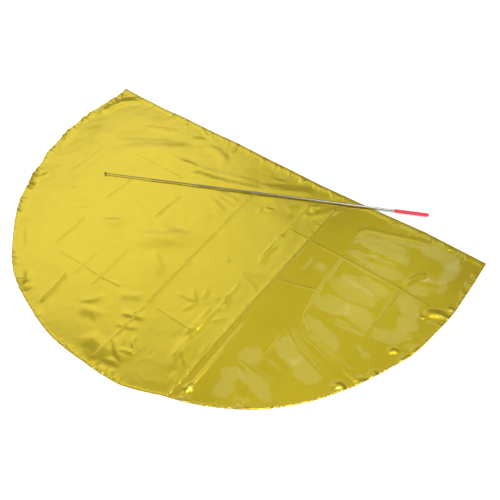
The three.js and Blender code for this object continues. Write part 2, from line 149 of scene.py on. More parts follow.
def make_floor():
    mesh = bpy.data.meshes.new("floor")
    h = FLOOR["half"]
    mesh.from_pydata([(-h, -h, 0), (h, -h, 0), (h, h, 0), (-h, h, 0)], [], [(0, 1, 2, 3)])
    floor = add_object("floor", mesh)
    material = bpy.data.materials.new("pale_floor")
    material.use_nodes = True
    shader = material.node_tree.nodes["Principled BSDF"]
    shader.inputs["Base Color"].default_value = (FLOOR["grey"], FLOOR["grey"], FLOOR["grey"], 1)
    shader.inputs["Roughness"].default_value = FLOOR["rough"]
    shader.inputs["Specular IOR Level"].default_value = 0.0
    shader.inputs["Emission Color"].default_value = (1, 1, 1, 1)
    shader.inputs["Emission Strength"].default_value = FLOOR["glow"]
    mesh.materials.append(material)


def make_sky():
    """A dim sky, brighter low in front, on the left and overhead, where only other views see it mirrored."""
    world = bpy.data.worlds.new("studio")
    world.use_nodes = True
    nodes = world.node_tree.nodes
    links = world.node_tree.links
    heading = nodes.new("ShaderNodeTexCoord").outputs["Generated"]
    total = nodes.new("ShaderNodeValue").outputs["Value"]
    total.default_value = SKY["level"]
    for row in BRIGHT_PARTS:
        near = nodes.new("ShaderNodeVectorMath")
        near.operation = "DOT_PRODUCT"
        near.inputs[1].default_value = direction(row["azimuth"], row["elevation"])
        links.new(heading, near.inputs[0])
        part = nodes.new("ShaderNodeMapRange")
        part.inputs["From Min"].default_value = math.cos(math.radians(row["reach"] + row["soft"]))
        part.inputs["From Max"].default_value = math.cos(math.radians(row["reach"] - row["soft"]))
        part.inputs["To Max"].default_value = row["more"]
        links.new(near.outputs["Value"], part.inputs["Value"])
        add = nodes.new("ShaderNodeMath")
        links.new(total, add.inputs[0])
        links.new(part.outputs["Result"], add.inputs[1])
        total = add.outputs["Value"]
    path = nodes.new("ShaderNodeLightPath")
    level = nodes.new("ShaderNodeMix")
    level.inputs["B"].default_value = SKY["seen"]
    links.new(path.outputs["Is Camera Ray"], level.inputs["Factor"])
    links.new(total, level.inputs["A"])
    background = nodes["Background"]
    background.inputs["Color"].default_value = (1, 1, 1, 1)
    links.new(level.outputs["Result"], background.inputs["Strength"])
    bpy.context.scene.world = world


make_floor()
make_sky()
bpy.context.scene.view_settings.view_transform = "Standard"
print("bright parts in the sky:", len(BRIGHT_PARTS))

# %% [markdown]
# ## The lamps
# A row of the table is one soft box: the place where flat cloth mirrors it to the camera, its size there,
# its turn and its radiance. Lamps could be moved about by hand until they look right, but saying where each
# one shows makes a bright patch easy to move. Boxes that overlap hang at slightly different heights, and
# the sun isn't mirrored at all.

# %% Sun and soft boxes
KEY = {"azimuth": 150.0, "elevation": 55.0, "angle": 14.0, "strength": 2.6}
CEILING = 2.6
CEILING_STEP = 0.004
GREAT_BOX = 600
SOFT_BOXES = table("at size turn radiance", [
    ((-640, -480), (520, 1230), 0, 0.97),
    ((-240, -480), (280, 1230), 0, 0.86),
    ((45, -590), (290, 1010), 0, 0.67),
    ((236, -530), (92, 680), 0, 0.9),
    ((520, -152), (196, 88), -2, 1.4),
    ((480, -232), (120, 30), -6, 1.3),
    ((570, -226), (110, 40), 14, 1.3),
    ((560, -78), (170, 40), 16, 1.3),
    ((690, -58), (150, 70), 4, 1.35),
    ((748, -112), (70, 110), -12, 1.35),
    ((715, -172), (110, 24), 14, 1.3),
    ((700, -238), (110, 26), 16, 1.3),
    ((765, -205), (26, 60), -10, 1.3),
    ((545, -318), (190, 76), 3, 1.15),
    ((530, -362), (180, 76), -6, 1.15),
    ((700, -310), (84, 66), 5, 1.35),
    ((728, -376), (90, 84), 50, 1.35),
    ((500, -455), (120, 80), 14, 1.35),
    ((590, -440), (110, 64), -10, 1.35),
    ((700, -452), (110, 64), 24, 1.3),
    ((600, -500), (120, 22), 12, 1.3),
    ((525, -568), (165, 56), -17, 1.4),
    ((668, -552), (50, 24), -10, 1.3),
    ((480, -672), (100, 80), -30, 1.35),
    ((560, -705), (120, 84), -20, 1.35),
    ((398, -760), (62, 56), 0, 1.3),
    ((470, -755), (50, 20), -20, 1.0),
    ((390, -838), (90, 60), 30, 1.3),
    ((470, -830), (120, 46), -16, 1.3),
    ((405, -900), (64, 80), -20, 1.3),
    ((385, -340), (42, 40), 0, 1.3),
    ((610, -625), (90, 22), -24, 0.9),
    ((545, -62), (230, 8), 16, 3.2),
    ((417, -138), (8, 76), -3, 4.0),
    ((440, -96), (60, 9), 38, 5.0),
    ((674, -200), (100, 18), 61, 2.4),
    ((342, -345), (9, 70), 0, 1.6),
])
GLINT_BOXES = table("at size turn radiance", [
    ((931, -1233), (400, 330), 0, 12.0),
    ((1114, -581), (300, 300), 0, 3.0),
])
WHITE = (1.0, 1.0, 1.0)
PALE_GREEN = (0.86, 1.0, 0.74)


def make_key():
    data = bpy.data.lights.new("key", "SUN")
    data.energy = KEY["strength"]
    data.angle = math.radians(KEY["angle"])
    key = add_object("key", data)
    key.rotation_euler = direction(KEY["azimuth"], KEY["elevation"]).to_track_quat("Z", "Y").to_euler()
    key.visible_glossy = False


def make_soft_box(row, colour, height):
    """A lamp at this height, mirrored by flat cloth at row's place and in row's size."""
    x, y = world_xy(*row["at"])
    out = height / camera.location.z
    wide, long = [v * MM * (1 + out) for v in row["size"]]
    data = bpy.data.lights.new("soft_box", "AREA")
    data.shape = "RECTANGLE" if row["size"][1] > GREAT_BOX else "ELLIPSE"
    data.size = wide
    data.size_y = long
    area = wide * long * (1 if data.shape == "RECTANGLE" else math.pi / 4)
    data.energy = row["radiance"] * math.pi * area
    data.color = colour
    lamp = add_object("soft_box", data)
    lamp.location = (x + (x - camera.location.x) * out, y + (y - camera.location.y) * out, height)
    lamp.rotation_euler = (0, 0, math.radians(row["turn"]))
    lamp.visible_camera = False


make_key()
for number, row in enumerate(SOFT_BOXES):
    colour = PALE_GREEN if row["at"][0] > SEAM["x"] else WHITE
    make_soft_box(row, colour, CEILING + number * CEILING_STEP)
for row in GLINT_BOXES:
    make_soft_box(row, WHITE, CEILING)
print("soft boxes:", len(SOFT_BOXES), "and for the glints:", len(GLINT_BOXES))

# %% [markdown]
# ## The outline of the cloth
# The curved edge is a half circle with short straight sides, a little uneven, as a sewn and ironed hem is.
# A place near it is given by how far round the edge it is, from the left corner, and how far in. These
# two numbers make hems, stitches and ruffles easy to say.

# %% Outline tables, and the edge's own coordinates
OUTLINE = [
    (0, -7), (50, -14), (120, -7), (200, 2), (245, 0), (300, -5), (345, -1), (404, -9), (491, -6), (535, -14),
    (622, -7), (665, -10), (752, -3), (926, -2), (1100, 10), (1274, 4), (1404, 6), (1549, 0), (1694, 7),
    (1824, -7), (1925, -2), (2099, 4), (2230, 1), (2360, -5), (2534, -9), (2621, -3), (2737, -6), (2852, 1),
    (3000, 2), (3097, 0),
]
STRAIGHT = [
    (-830, 7), (-740, 3), (-580, -1), (-500, 3), (-340, 0), (-220, 3), (-60, -2), (180, -6), (340, -2),
    (500, 4), (600, 8), (700, 4), (830, -1),
]
STRAIGHT_FADE = 150


def look_up(rows, place):
    """Value of a table at each place, in straight lines between its rows."""
    places, values = zip(*rows)
    return np.interp(place, places, values)


def edge_point(along, inset):
    along = np.asarray(along, float)
    reach = RADIUS + look_up(OUTLINE, along) - inset
    turn = np.clip((along - SIDE) / RADIUS, 0, math.pi)
    down = np.where(along < SIDE, SIDE - along, np.where(along > SIDE + ARC, along - SIDE - ARC, 0))
    return -reach * np.cos(turn), -SIDE - reach * np.sin(turn) + down


def near_edge(x, y):
    """How far round the curved edge each place is, and how far in from it."""
    on_side = y > -SIDE
    beside = np.where(x < 0, -y, EDGE_LENGTH + y)
    along = np.where(on_side, beside, SIDE + RADIUS * np.arctan2(-SIDE - y, -x))
    reach = np.where(on_side, np.abs(x), np.hypot(x, y + SIDE))
    return along, RADIUS + look_up(OUTLINE, along) - reach


def along_at_x(x):
    along = SIDE + ARC / 2
    for _ in range(6):
        reach = RADIUS + look_up(OUTLINE, along)
        along = SIDE + RADIUS * math.acos(-x / reach)
    return along


def bow(x, y):
    return look_up(STRAIGHT, x) * np.maximum(0, 1 + y / STRAIGHT_FADE)


seam_along = along_at_x(SEAM["x"])
print("edge length in mm", round(EDGE_LENGTH), "and the seam meets it at", round(seam_along))

# %% [markdown]
# ## Creases and folds
# Lame keeps a mark of everything that has happened to it. Square, sharp creases come from the packet that
# the flag was folded into. Soft folds come from laying it down by hand. Each row below is one of them: its
# route on the cloth, its height, and how wide its two flanks are, to the left and right of the route. A
# narrow flank is steep, so it mirrors something else than the flat cloth and reads as a line.

# %% Creases left by the packet
CREASES = table("route high left right", [
    ([(-628, -320), (-628, -500)], 0.5, 9, 9),
    ([(-420, -255), (-420, -370)], 0.4, 6, 6),
    ([(-416, -385), (-418, -455), (-424, -530)], 1.0, 6, 6),
    ([(-420, -640), (-412, -700), (-414, -790)], 1.1, 7, 6),
    ([(-213, -360), (-215, -420), (-214, -500)], 1.5, 6, 7),
    ([(-198, -655), (-190, -740), (-186, -850)], 1.1, 6, 7),
    ([(-268, -730), (-266, -790), (-268, -850)], 1.0, 6, 6),
    ([(-285, -855), (-272, -930), (-270, -1000)], 2.2, 13, 7),
    ([(-4, -190), (-2, -300), (0, -420)], 1.7, 9, 5),
    ([(0, -420), (2, -520), (6, -640)], 1.9, 10, 5),
    ([(4, -630), (9, -740), (12, -800)], 2.3, 11, 5),
    ([(12, -800), (13, -900), (15, -1050)], 1.5, 9, 5),
    ([(193, -105), (195, -200), (196, -300)], 1.0, 12, 6),
    ([(198, -285), (203, -350), (207, -455)], 3.4, 20, 12),
    ([(206, -560), (210, -660), (206, -790)], 1.6, 8, 9),
    ([(206, -785), (207, -900)], 1.1, 9, 9),
    ([(314, -676), (315, -740), (316, -790)], 0.9, 6, 6),
    ([(316, -780), (317, -880), (318, -990)], 1.8, 6.5, 8),
    ([(422, -252), (427, -390), (434, -470), (449, -545)], 1.1, 5, 5),
    ([(430, -640), (433, -700), (432, -790)], 0.7, 5, 4),
    ([(648, -262), (647, -400), (645, -500)], 0.9, 5, 5),
    ([(-516, -285), (-265, -285)], 0.8, 5, 5),
    ([(290, -263), (500, -264), (640, -268), (752, -276)], 0.9, 5, 5),
    ([(205, -262), (285, -264)], 0.9, 5, 5),
    ([(-375, -806), (-280, -803), (-190, -806), (-100, -797)], 1.1, 6, 6),
    ([(45, -793), (200, -795)], 0.9, 5, 5),
    ([(384, -796), (505, -795)], 0.5, 4, 4),
    ([(284, -476), (350, -458), (425, -434)], 1.3, 8, 5),
    ([(652, -640), (690, -650), (720, -660)], 1.0, 5, 5),
])

# %% [markdown]
# ## Soft folds
# A soft fold is slack cloth pushed up in a long low wave. A cloth simulation could make some, but not at
# chosen places. A route with a height and two flanks puts each where the real one lies. The last number,
# where a row has one, is how far before its ends the fold starts to die out.

# %% Soft folds
FOLDS = table("route high left right taper", [
    ([(-590, -298), (-470, -211), (-320, -114)], 2.2, 48, 60, 90),
    ([(-620, -262), (-520, -196), (-440, -140)], 0.6, 16, 24),
    ([(-706, -26), (-735, -45), (-765, -75), (-778, -118), (-782, -175)], 4.2, 18, 36),
    ([(-590, -140), (-500, -105), (-440, -80)], 0.8, 20, 34),
    ([(-392, -95), (-350, -70), (-318, -58)], 1.2, 24, 30),
    ([(-318, -80), (-250, -84), (-210, -100), (-180, -125)], 1.4, 26, 34),
    ([(-410, -210), (-330, -210), (-250, -200)], 1.0, 18, 28),
    ([(-340, -212), (-180, -186), (-60, -150), (20, -128), (140, -58)], 0.7, 24, 16),
    ([(-270, -244), (-170, -226), (-100, -204), (-20, -172), (90, -112), (180, -56)], 2.6, 38, 24),
    ([(-394, -454), (-300, -488), (-230, -516), (-195, -524)], 0.9, 9, 40),
    ([(-215, -518), (-130, -530), (-80, -512), (-40, -488), (0, -468)], 4.6, 42, 60, 120),
    ([(-268, -628), (-200, -592), (-130, -562), (-60, -540), (-10, -520)], 4.2, 42, 60, 130),
    ([(-385, -638), (-320, -596), (-265, -556)], 2.2, 24, 32, 70),
    ([(-340, -518), (-262, -552)], 0.7, 7, 7),
    ([(-150, -268), (-80, -256), (-10, -262)], 1.0, 16, 22),
    ([(-140, -300), (-90, -310), (-20, -334)], 1.0, 16, 26),
    ([(-110, -280), (-60, -284), (-5, -292)], 1.0, 8, 18),
    ([(-110, -425), (-70, -395), (-48, -362)], 1.3, 18, 30),
    ([(-30, -350), (-80, -345)], 1.0, 9, 18),
    ([(-130, -610), (-70, -650), (-10, -688)], 2.6, 22, 36, 60),
    ([(-95, -828), (-70, -815), (-40, -800), (-8, -775)], 2.0, 20, 30),
    ([(-175, -922), (-150, -900), (-130, -872), (-105, -862)], 2.2, 20, 28),
    ([(-160, -935), (-110, -920), (-60, -912)], 2.6, 16, 40),
    ([(-33, -876), (6, -864), (55, -848)], 2.4, 20, 13),
    ([(-20, -922), (20, -908), (64, -888)], 1.3, 20, 8),
    ([(67, -912), (76, -935), (101, -952), (102, -966), (60, -980)], 2.4, 9, 9),
    ([(33, -930), (46, -944), (60, -966)], 1.2, 7, 7),
    ([(12, -952), (52, -986), (104, -1012)], 2.6, 22, 15),
    ([(100, -662), (112, -684), (136, -700)], 1.7, 12, 10),
    ([(60, -708), (120, -702), (150, -704)], 1.5, 16, 12),
    ([(138, -634), (142, -660), (152, -688)], 1.5, 13, 12),
    ([(162, -660), (182, -650), (196, -666)], 1.5, 12, 12),
    ([(160, -692), (178, -672)], 1.2, 12, 12),
    ([(206, -616), (214, -640), (228, -656)], 2.8, 14, 8),
    ([(236, -654), (222, -668), (214, -690)], 2.6, 12, 10),
    ([(254, -694), (240, -714), (220, -732)], 2.2, 16, 12),
    ([(66, -226), (66, -268)], 1.4, 8, 8),
    ([(70, -232), (110, -218)], 1.6, 8, 9),
    ([(232, -96), (219, -118), (224, -150)], 2.4, 12, 12),
    ([(296, -66), (262, -130), (205, -190)], 2.0, 24, 24),
    ([(103, -512), (128, -497)], 1.9, 8, 10),
    ([(176, -526), (220, -508), (272, -482)], 1.4, 9, 7),
    ([(180, -530), (230, -534), (275, -550)], 1.2, 8, 10),
    ([(-570, -548), (-520, -580)], 1.2, 14, 18),
    ([(-690, -560), (-712, -590)], 2.0, 14, 12),
    ([(-412, -925), (-380, -950), (-345, -985)], 3.0, 24, 14),
    ([(414, -165), (412, -124), (432, -100), (505, -80), (576, -56), (650, -36)], 0.6, 16, 12),
    ([(694, -156), (672, -184), (658, -215), (652, -250)], 1.2, 13, 18),
    ([(425, -545), (500, -600), (600, -622), (700, -640)], 0.8, 22, 14),
    ([(425, -600), (520, -655), (640, -692)], 0.6, 16, 16),
    ([(752, -318), (782, -296), (818, -276)], 4.2, 26, 16.5),
    ([(742, -338), (766, -322)], 2.4, 14, 9.5),
    ([(800, -258), (826, -240)], 2.6, 12, 10.3),
    ([(758, -432), (774, -424)], 1.6, 9, 6.3),
    ([(728, -512), (744, -490), (762, -498)], 2.8, 14, 11),
    ([(728, -598), (744, -586)], 1.8, 9, 7),
    ([(690, -648), (722, -646)], 1.6, 9, 6.4),
    ([(652, -712), (672, -692), (694, -690)], 3.8, 16, 15),
    ([(458, -906), (480, -892)], 2.0, 10, 8),
    ([(184, -880), (222, -868), (262, -868)], 4.8, 64, 95, 46),
    ([(-60, -985), (0, -1000), (60, -1016)], 3.4, 30, 60),
    ([(196, -690), (196, -760), (190, -830)], 2.6, 26, 18),
    ([(304, -975), (318, -950), (330, -970)], 3.0, 14, 11.8),
])

# %% [markdown]
# ## Leaning patches, and puckers below the sleeve
# Some patches are tipped by 5 to 17 degrees and mirror something darker or brighter than the cloth around
# them. The last column is the slope at their middle. Puckers are short folds that run down from the
# straight edge, so they join the table of folds. The last number of a pucker, or PUCKER_LIT where it has
# none, says how wide its left flank is, counted in its right one.

# %% Patches of cloth that lean one way
LEANING = table("x y long wide turn lean", [
    (216, -372, 76, 15, 88, 0.26),
    (18, -300, 34, 9, 90, 0.20),
    (14, -445, 40, 10, 90, 0.20),
    (20, -598, 34, 10, 90, 0.24),
    (33, -755, 30, 8, 104, 0.20),
    (-12, -562, 16, 12, 0, 0.20),
    (138, -735, 36, 20, 70, 0.18),
    (194, -722, 48, 18, 90, 0.24),
    (188, -774, 28, 11, 40, 0.20),
    (217, -808, 18, 9, 90, 0.18),
    (275, -832, 38, 13, 96, 0.26),
    (268, -958, 46, 24, 100, 0.16),
    (238, -892, 44, 16, -38, 0.18),
    (72, -1034, 44, 24, 14, 0.20),
    (147, -930, 26, 12, 90, 0.10),
    (282, -266, 14, 7, 90, 0.30),
    (278, -434, 12, 8, 90, 0.26),
    (278, -482, 16, 9, 80, 0.28),
    (278, -615, 20, 8, 90, 0.28),
    (35, -70, 38, 20, 20, -0.12),
    (170, -180, 40, 30, 70, 0.10),
    (100, -90, 70, 14, 28, -0.12),
    (60, -590, 20, 14, 60, 0.10),
    (-160, -480, 50, 16, -6, 0.08),
    (-470, -590, 60, 26, 40, 0.09),
    (-520, -836, 60, 20, -42, 0.14),
    (-250, -690, 60, 18, 0, 0.08),
])
PUCKERS = table("x deep high half slant lit", [
    (-648, 50, 1.0, 7, 0.3),
    (-544, 48, 1.4, 6, 0.5),
    (-476, 46, 1.9, 6, 0.6),
    (-412, 40, 1.4, 6, 1.8),
    (-350, 44, 1.0, 6, 0.8),
    (-262, 40, 1.2, 6, 0.4),
    (-213, 72, 2.4, 5, 0.15),
    (-152, 34, 1.5, 7, 0.2),
    (-90, 40, 2.4, 9, 0.5),
    (-34, 40, 2.0, 8, 0.5),
    (-10, 38, 2.4, 8, 0.4),
    (38, 38, 1.2, 6, 0.3),
    (86, 40, 1.8, 7, 0.5),
    (104, 42, 2.2, 7, 0.1),
    (126, 40, 2.2, 7, -0.5),
    (150, 36, 1.6, 6, 0.4),
    (180, 34, 2.3, 8, 0.0),
    (208, 40, 2.2, 7, 1.2),
    (236, 40, 1.8, 7, 0.8),
    (470, 30, 0.8, 4, 0.5, 0.9),
    (566, 30, 1.3, 4, 0.6, 0.9),
    (590, 26, 1.6, 4, -0.3, 1.0),
    (618, 34, 1.5, 4, 0.5, 0.9),
    (640, 30, 1.8, 5, 0.2, 0.9),
    (668, 26, 1.3, 4, 0.7, 0.9),
    (702, 30, 1.6, 5, -0.2, 0.9),
    (758, 26, 1.2, 4, 0.4, 0.9),
    (806, 22, 1.0, 4, 0.2, 0.9),
])
PUCKER_TOP = -2
PUCKER_LIT = 1.8
for pucker in PUCKERS:
    foot = (pucker["x"] + pucker["slant"] * pucker["deep"], -pucker["deep"])
    fold = {"route": [(pucker["x"], PUCKER_TOP), foot], "high": pucker["high"]}
    fold["left"] = pucker["half"] * pucker.get("lit", PUCKER_LIT)
    fold["right"] = pucker["half"]
    FOLDS.append(fold)
print("creases:", len(CREASES), "soft folds:", len(FOLDS), "leaning patches:", len(LEANING))

# %% [markdown]
# ## Ruffles and swellings
# A hem sewn on a curve is a little too long for its cloth, so it stands up in small waves that die out
# inwards. A swelling has air under it. Both are waves with soft limits, so a short row describes each, and
# the fine share of a ruffle sets how much small crumpling it carries.

# %% Ruffles in the hem, and swellings with air under the cloth
RUFFLES = table("from to count fine high deep slant", [
    (15, 165, 3, 1.1, 5, 60, 0.7),
    (185, 268, 2, 1.1, 8, 34, 0),
    (292, 420, 4, 1.1, 7, 56, 0.8),
    (425, 540, 4, 1.1, 4, 34, 0.6),
    (560, 705, 4, 1.1, 8, 50, 0.5),
    (725, 820, 3, 1.1, 4, 42, 0.4),
    (1000, 1075, 2, 0.45, 4, 40, 0.3),
    (1118, 1195, 2, 0.45, 6, 62, 0.3),
    (1275, 1325, 1, 0.45, 4, 36, 0),
    (1420, 1540, 3, 0.45, 3, 30, 0),
    (1565, 1700, 4, 0.45, 5, 46, 0),
    (1868, 1915, 1, 0.06, 6, 40, 0),
    (2035, 2090, 1, 0.06, 6, 40, 0),
    (2325, 2385, 1, 0.06, 5, 48, 0),
    (2410, 2500, 2, 0.06, 6, 36, 0),
    (2560, 2670, 2, 0.06, 4, 40, -0.3),
    (2755, 2835, 2, 0.06, 4, 54, -0.3),
    (2900, 3050, 3, 0.06, 3, 30, 0),
])
SWELLS = table("x y long wide turn high", [
    (520, -165, 105, 45, 8, 4.0),
    (525, -345, 105, 55, -12, 4.0),
    (745, -150, 60, 100, -10, 4.5),
    (720, -370, 55, 75, 5, 3.5),
    (545, -470, 95, 38, 14, 3.5),
    (530, -725, 90, 55, -15, 4.0),
    (385, -850, 60, 80, 30, 4.0),
    (140, -250, 90, 60, 20, 3.0),
    (-470, -640, 110, 80, 30, 2.5),
])
SWELL_SHARE = {"main_panel": 0.4, "side_panel": 0.06}
print("ruffle runs:", len(RUFFLES), "swellings:", len(SWELLS))

# %% [markdown]
# ## How high the cloth lies at every place
# Each kind of unevenness gets a small function that takes whole arrays of places, so that tens of
# thousands of points take a moment. A crease is a sharp ridge, a soft fold a rounded one. The finest
# unevenness, which nobody could list, is a sum of many long and short waves with a fixed seed.


# %% Lift from creases, folds, ruffles and swellings
def near_route(route, x, y):
    """Distance of each place from a route, positive on its left, and from the route's nearer end."""
    best = np.full(x.shape, np.inf)
    side_best = np.ones(x.shape)
    gone_best = np.zeros(x.shape)
    gone = 0.0
    for (ax, ay), (bx, by) in zip(route, route[1:]):
        dx = bx - ax
        dy = by - ay
        long = math.hypot(dx, dy)
        t = np.clip(((x - ax) * dx + (y - ay) * dy) / long**2, 0, 1)
        off = np.hypot(x - ax - t * dx, y - ay - t * dy)
        closer = off < best
        best = np.where(closer, off, best)
        side_best = np.where(closer, np.sign(dx * (y - ay) - dy * (x - ax)), side_best)
        gone_best = np.where(closer, gone + t * long, gone_best)
        gone += long
    return best * side_best, np.minimum(gone_best, gone - gone_best)


WANDERS = {
    "seam": {"seed": 71, "longest": 60, "shortest": 14},
    "hem": {"seed": 81, "longest": 90, "shortest": 12},
    "hem_puckers": {"seed": 82, "longest": 34, "shortest": 9.5},
    "hem_strength": {"seed": 83, "longest": 300, "shortest": 60},
    "sleeve_puckers": {"seed": 84, "longest": 44, "shortest": 12},
    "sleeve_strength": {"seed": 85, "longest": 260, "shortest": 60},
    "ruffle_drift": {"seed": 91, "longest": 120, "shortest": 40},
    "ruffle_fine": {"seed": 92, "longest": 26, "shortest": 9},
}
WANDER_WAVES = 16
WANDER_SIZE = 1.2


def wander(place, name):
    """An uneven wave along a seam or an edge, mostly between -1 and 1, with a fixed seed."""
    row = WANDERS[name]
    random = np.random.default_rng(row["seed"])
    total = np.zeros(np.shape(place))
    for _ in range(WANDER_WAVES):
        length = math.exp(random.uniform(math.log(row["shortest"]), math.log(row["longest"])))
        total += np.sin(place * 2 * math.pi / length + random.uniform(0, 2 * math.pi))
    return total * WANDER_SIZE / math.sqrt(WANDER_WAVES)


def smooth(t):
    t = np.clip(t, 0, 1)
    return t * t * (3 - 2 * t)


TAPER = {"share": 1.5, "widest": 24}
CREASE_POWER = 1.5


def fold_lift(fold, x, y, sharp):
    xs, ys = zip(*fold["route"])
    wide = max(fold["left"], fold["right"])
    near = (x > min(xs) - wide) & (x < max(xs) + wide) & (y > min(ys) - wide) & (y < max(ys) + wide)
    lift = np.zeros(x.shape)
    off, from_end = near_route(fold["route"], x[near], y[near])
    fade = smooth((from_end + 1) / fold.get("taper", TAPER["share"] * min(wide, TAPER["widest"])))
    rise = np.maximum(0, 1 - np.where(off > 0, off / fold["left"], -off / fold["right"]))
    lift[near] = fold["high"] * fade * (rise**CREASE_POWER if sharp else smooth(rise))
    return lift


def oval(row, x, y):
    """How far across an oval each place is, and a soft hump that ends at the oval's rim."""
    turn = math.radians(row["turn"])
    dx = x - row["x"]
    dy = y - row["y"]
    u = (dx * math.cos(turn) + dy * math.sin(turn)) / row["long"]
    v = (dy * math.cos(turn) - dx * math.sin(turn)) / row["wide"]
    return v, np.maximum(0, 1 - u * u - v * v) ** 2


def leaning_lift(patch, x, y):
    across, hump = oval(patch, x, y)
    return patch["lean"] * patch["wide"] * across * hump


def swell_lift(swell, x, y):
    return swell["high"] * oval(swell, x, y)[1]


RUFFLE = {"drift": 0.6, "wave": 0.7, "hem": 8, "ends": 4}


def ruffle_lift(run, along, inset):
    part = (along - run["slant"] * inset - run["from"]) / (run["to"] - run["from"])
    inside = (part > 0) & (part < 1) & (inset < run["deep"])
    drift = RUFFLE["drift"] * wander(along - run["slant"] * inset, "ruffle_drift")
    wave = 0.5 - 0.5 * np.cos(2 * np.pi * run["count"] * part + drift * np.sin(np.pi * part))
    fine = np.maximum(0, wander(along - run["slant"] * inset, "ruffle_fine"))
    ends = smooth(RUFFLE["ends"] * part) * smooth(RUFFLE["ends"] - RUFFLE["ends"] * part)
    fade = np.clip(1 - inset / run["deep"], 0, 1) ** 2 * ends
    shape = RUFFLE["wave"] * wave + run["fine"] * fine * smooth(inset / RUFFLE["hem"])
    return np.where(inside, run["high"] * shape * fade, 0)


def seam_lift(x, y):
    """The main panel dips to the seam; the other side lies over the seam allowance and stays flat."""
    off = SEAM["x"] - x
    away = smooth((SEAM["reach"] - np.abs(off)) / SEAM["reach"])
    pucker = SEAM["pucker"] * np.maximum(0, wander(y, "seam"))
    dip = smooth(off / SEAM["dip"]) * (SEAM["high"] + pucker)
    return away * np.where(off > 0, dip, SEAM["flat"])


# %% [markdown]
# ## Random unevenness
# A field of many waves with random directions looks like cloth that was smoothed out by hand. Folding the
# field over at zero turns it into a net of little ridges, which is how thin metal cloth crumples.


# %% Random waves with a fixed seed
def wave_field(x, y, seed, longest, shortest, count):
    random = np.random.default_rng(seed)
    total = np.zeros(x.shape)
    for _ in range(count):
        length = math.exp(random.uniform(math.log(shortest), math.log(longest)))
        heading = random.uniform(0, 2 * math.pi)
        phase = random.uniform(0, 2 * math.pi)
        wave = (x * math.cos(heading) + y * math.sin(heading)) * 2 * math.pi / length
        total += np.sin(wave + phase) * (length / longest) ** 0.5
    return total / math.sqrt(count)


CRUMPLE_STEEP = 1.6
FIELDS = {
    "rolling": {"seed": 11, "longest": 260, "shortest": 110, "count": 24},
    "crumple": {"seed": 23, "longest": 120, "shortest": 45, "count": 28},
    "fine": {"seed": 37, "longest": 34, "shortest": 14, "count": 40},
    "mottle": {"seed": 41, "longest": 95, "shortest": 38, "count": 40},
    "ragged": {"seed": 43, "longest": 46, "shortest": 20, "count": 40},
}
LOOSE = {
    "main_panel": {"rolling": 0.9, "crumple": 0.3, "fine": 0.03, "mottle": 0.22, "ragged": 0.06},
    "side_panel": {"rolling": 0.2, "crumple": 0.0, "fine": 0.0, "mottle": 0.06, "ragged": 0.035},
}


def loose_lift(panel, x, y):
    total = np.zeros(x.shape)
    for name, high in LOOSE[panel].items():
        field = wave_field(x, y, **FIELDS[name])
        if name == "crumple":
            total += high * (1 - np.minimum(1, np.abs(field) * CRUMPLE_STEEP)) ** 2
        else:
            total += high * (0.5 + 0.5 * field)
    return total


# %% [markdown]
# ## Sewn edges
# A sewing machine pulls the cloth together a little, so beside every seam the cloth puckers. The straight
# edge is folded over as a flat sleeve for the rod, and the curved edge is rolled over twice into a narrow
# hem. Both are bands with a valley where the thread pulls them down.


# %% Hem, sleeve and their puckers
HEM_PUCKER = {"high": 0.9, "reach": 15, "least": 0.35}
SLEEVE_PUCKER = {"high": 0.9, "reach": 24, "least": 0.3, "lean": 0.5}


def band(place, start, end, edge):
    """One inside a band and nothing outside it, with rounded shoulders of the given width."""
    return smooth((place - start) / edge) * smooth((end - place) / edge)


def hem_rise(along, inset):
    roll = np.sqrt(np.maximum(0, 1 - ((inset - HEM["wide"] / 2) / (HEM["wide"] / 2)) ** 2))
    return HEM["high"] * roll * (1 + HEM["uneven"] * wander(along, "hem"))


def sleeve_rise(y):
    across = -y
    crown = SLEEVE["high"] * band(across, -SLEEVE["edge"], SLEEVE["wide"], SLEEVE["edge"])
    belly = SLEEVE["belly"] * np.sin(np.pi * np.clip(across / SLEEVE["wide"], 0, 1))
    return crown + belly


def pucker_lift(size, away, strength, wave):
    """Puckers that stand beside a seam and are stronger in some stretches of it than in others."""
    fade = np.maximum(0, 1 - away / size["reach"]) ** 2
    strength = size["least"] + (1 - size["least"]) * np.maximum(0, strength)
    return size["high"] * fade * strength * np.maximum(0, wave)


def hem_pucker(along, inset):
    away = np.maximum(inset - HEM["wide"], 0)
    return pucker_lift(HEM_PUCKER, away, wander(along, "hem_strength"), wander(along, "hem_puckers"))


def sleeve_pucker(x, y):
    below = -y - SLEEVE["wide"]
    wave = wander(x + SLEEVE_PUCKER["lean"] * below, "sleeve_puckers")
    return pucker_lift(SLEEVE_PUCKER, np.abs(below), wander(x, "sleeve_strength"), wave)


# %% [markdown]
# ## The whole sheet's height
# All lifts are added. Where the rod lies on it, the cloth is pressed down, so the sum is capped there,
# less and less with the distance from the rod.

# %% Underside and top of the cloth
CLOTH = {"clear": 0.15, "thick": 0.75, "settle": 0.05}
ROD_BED = {"half": 10, "top": 2.15, "slope": 0.15}
ROD_LONG = 1090.3
rod_route = [ROD["tip"], tuple(np.array(ROD["tip"]) + along_rod * ROD_LONG)]


def thickness(x, y):
    along, inset = near_edge(x, y)
    rise = np.where(inset < HEM["wide"], hem_rise(along, inset), 0)
    return CLOTH["thick"] + np.where(-y < SLEEVE["wide"] + SLEEVE["foot"], sleeve_rise(y), rise)


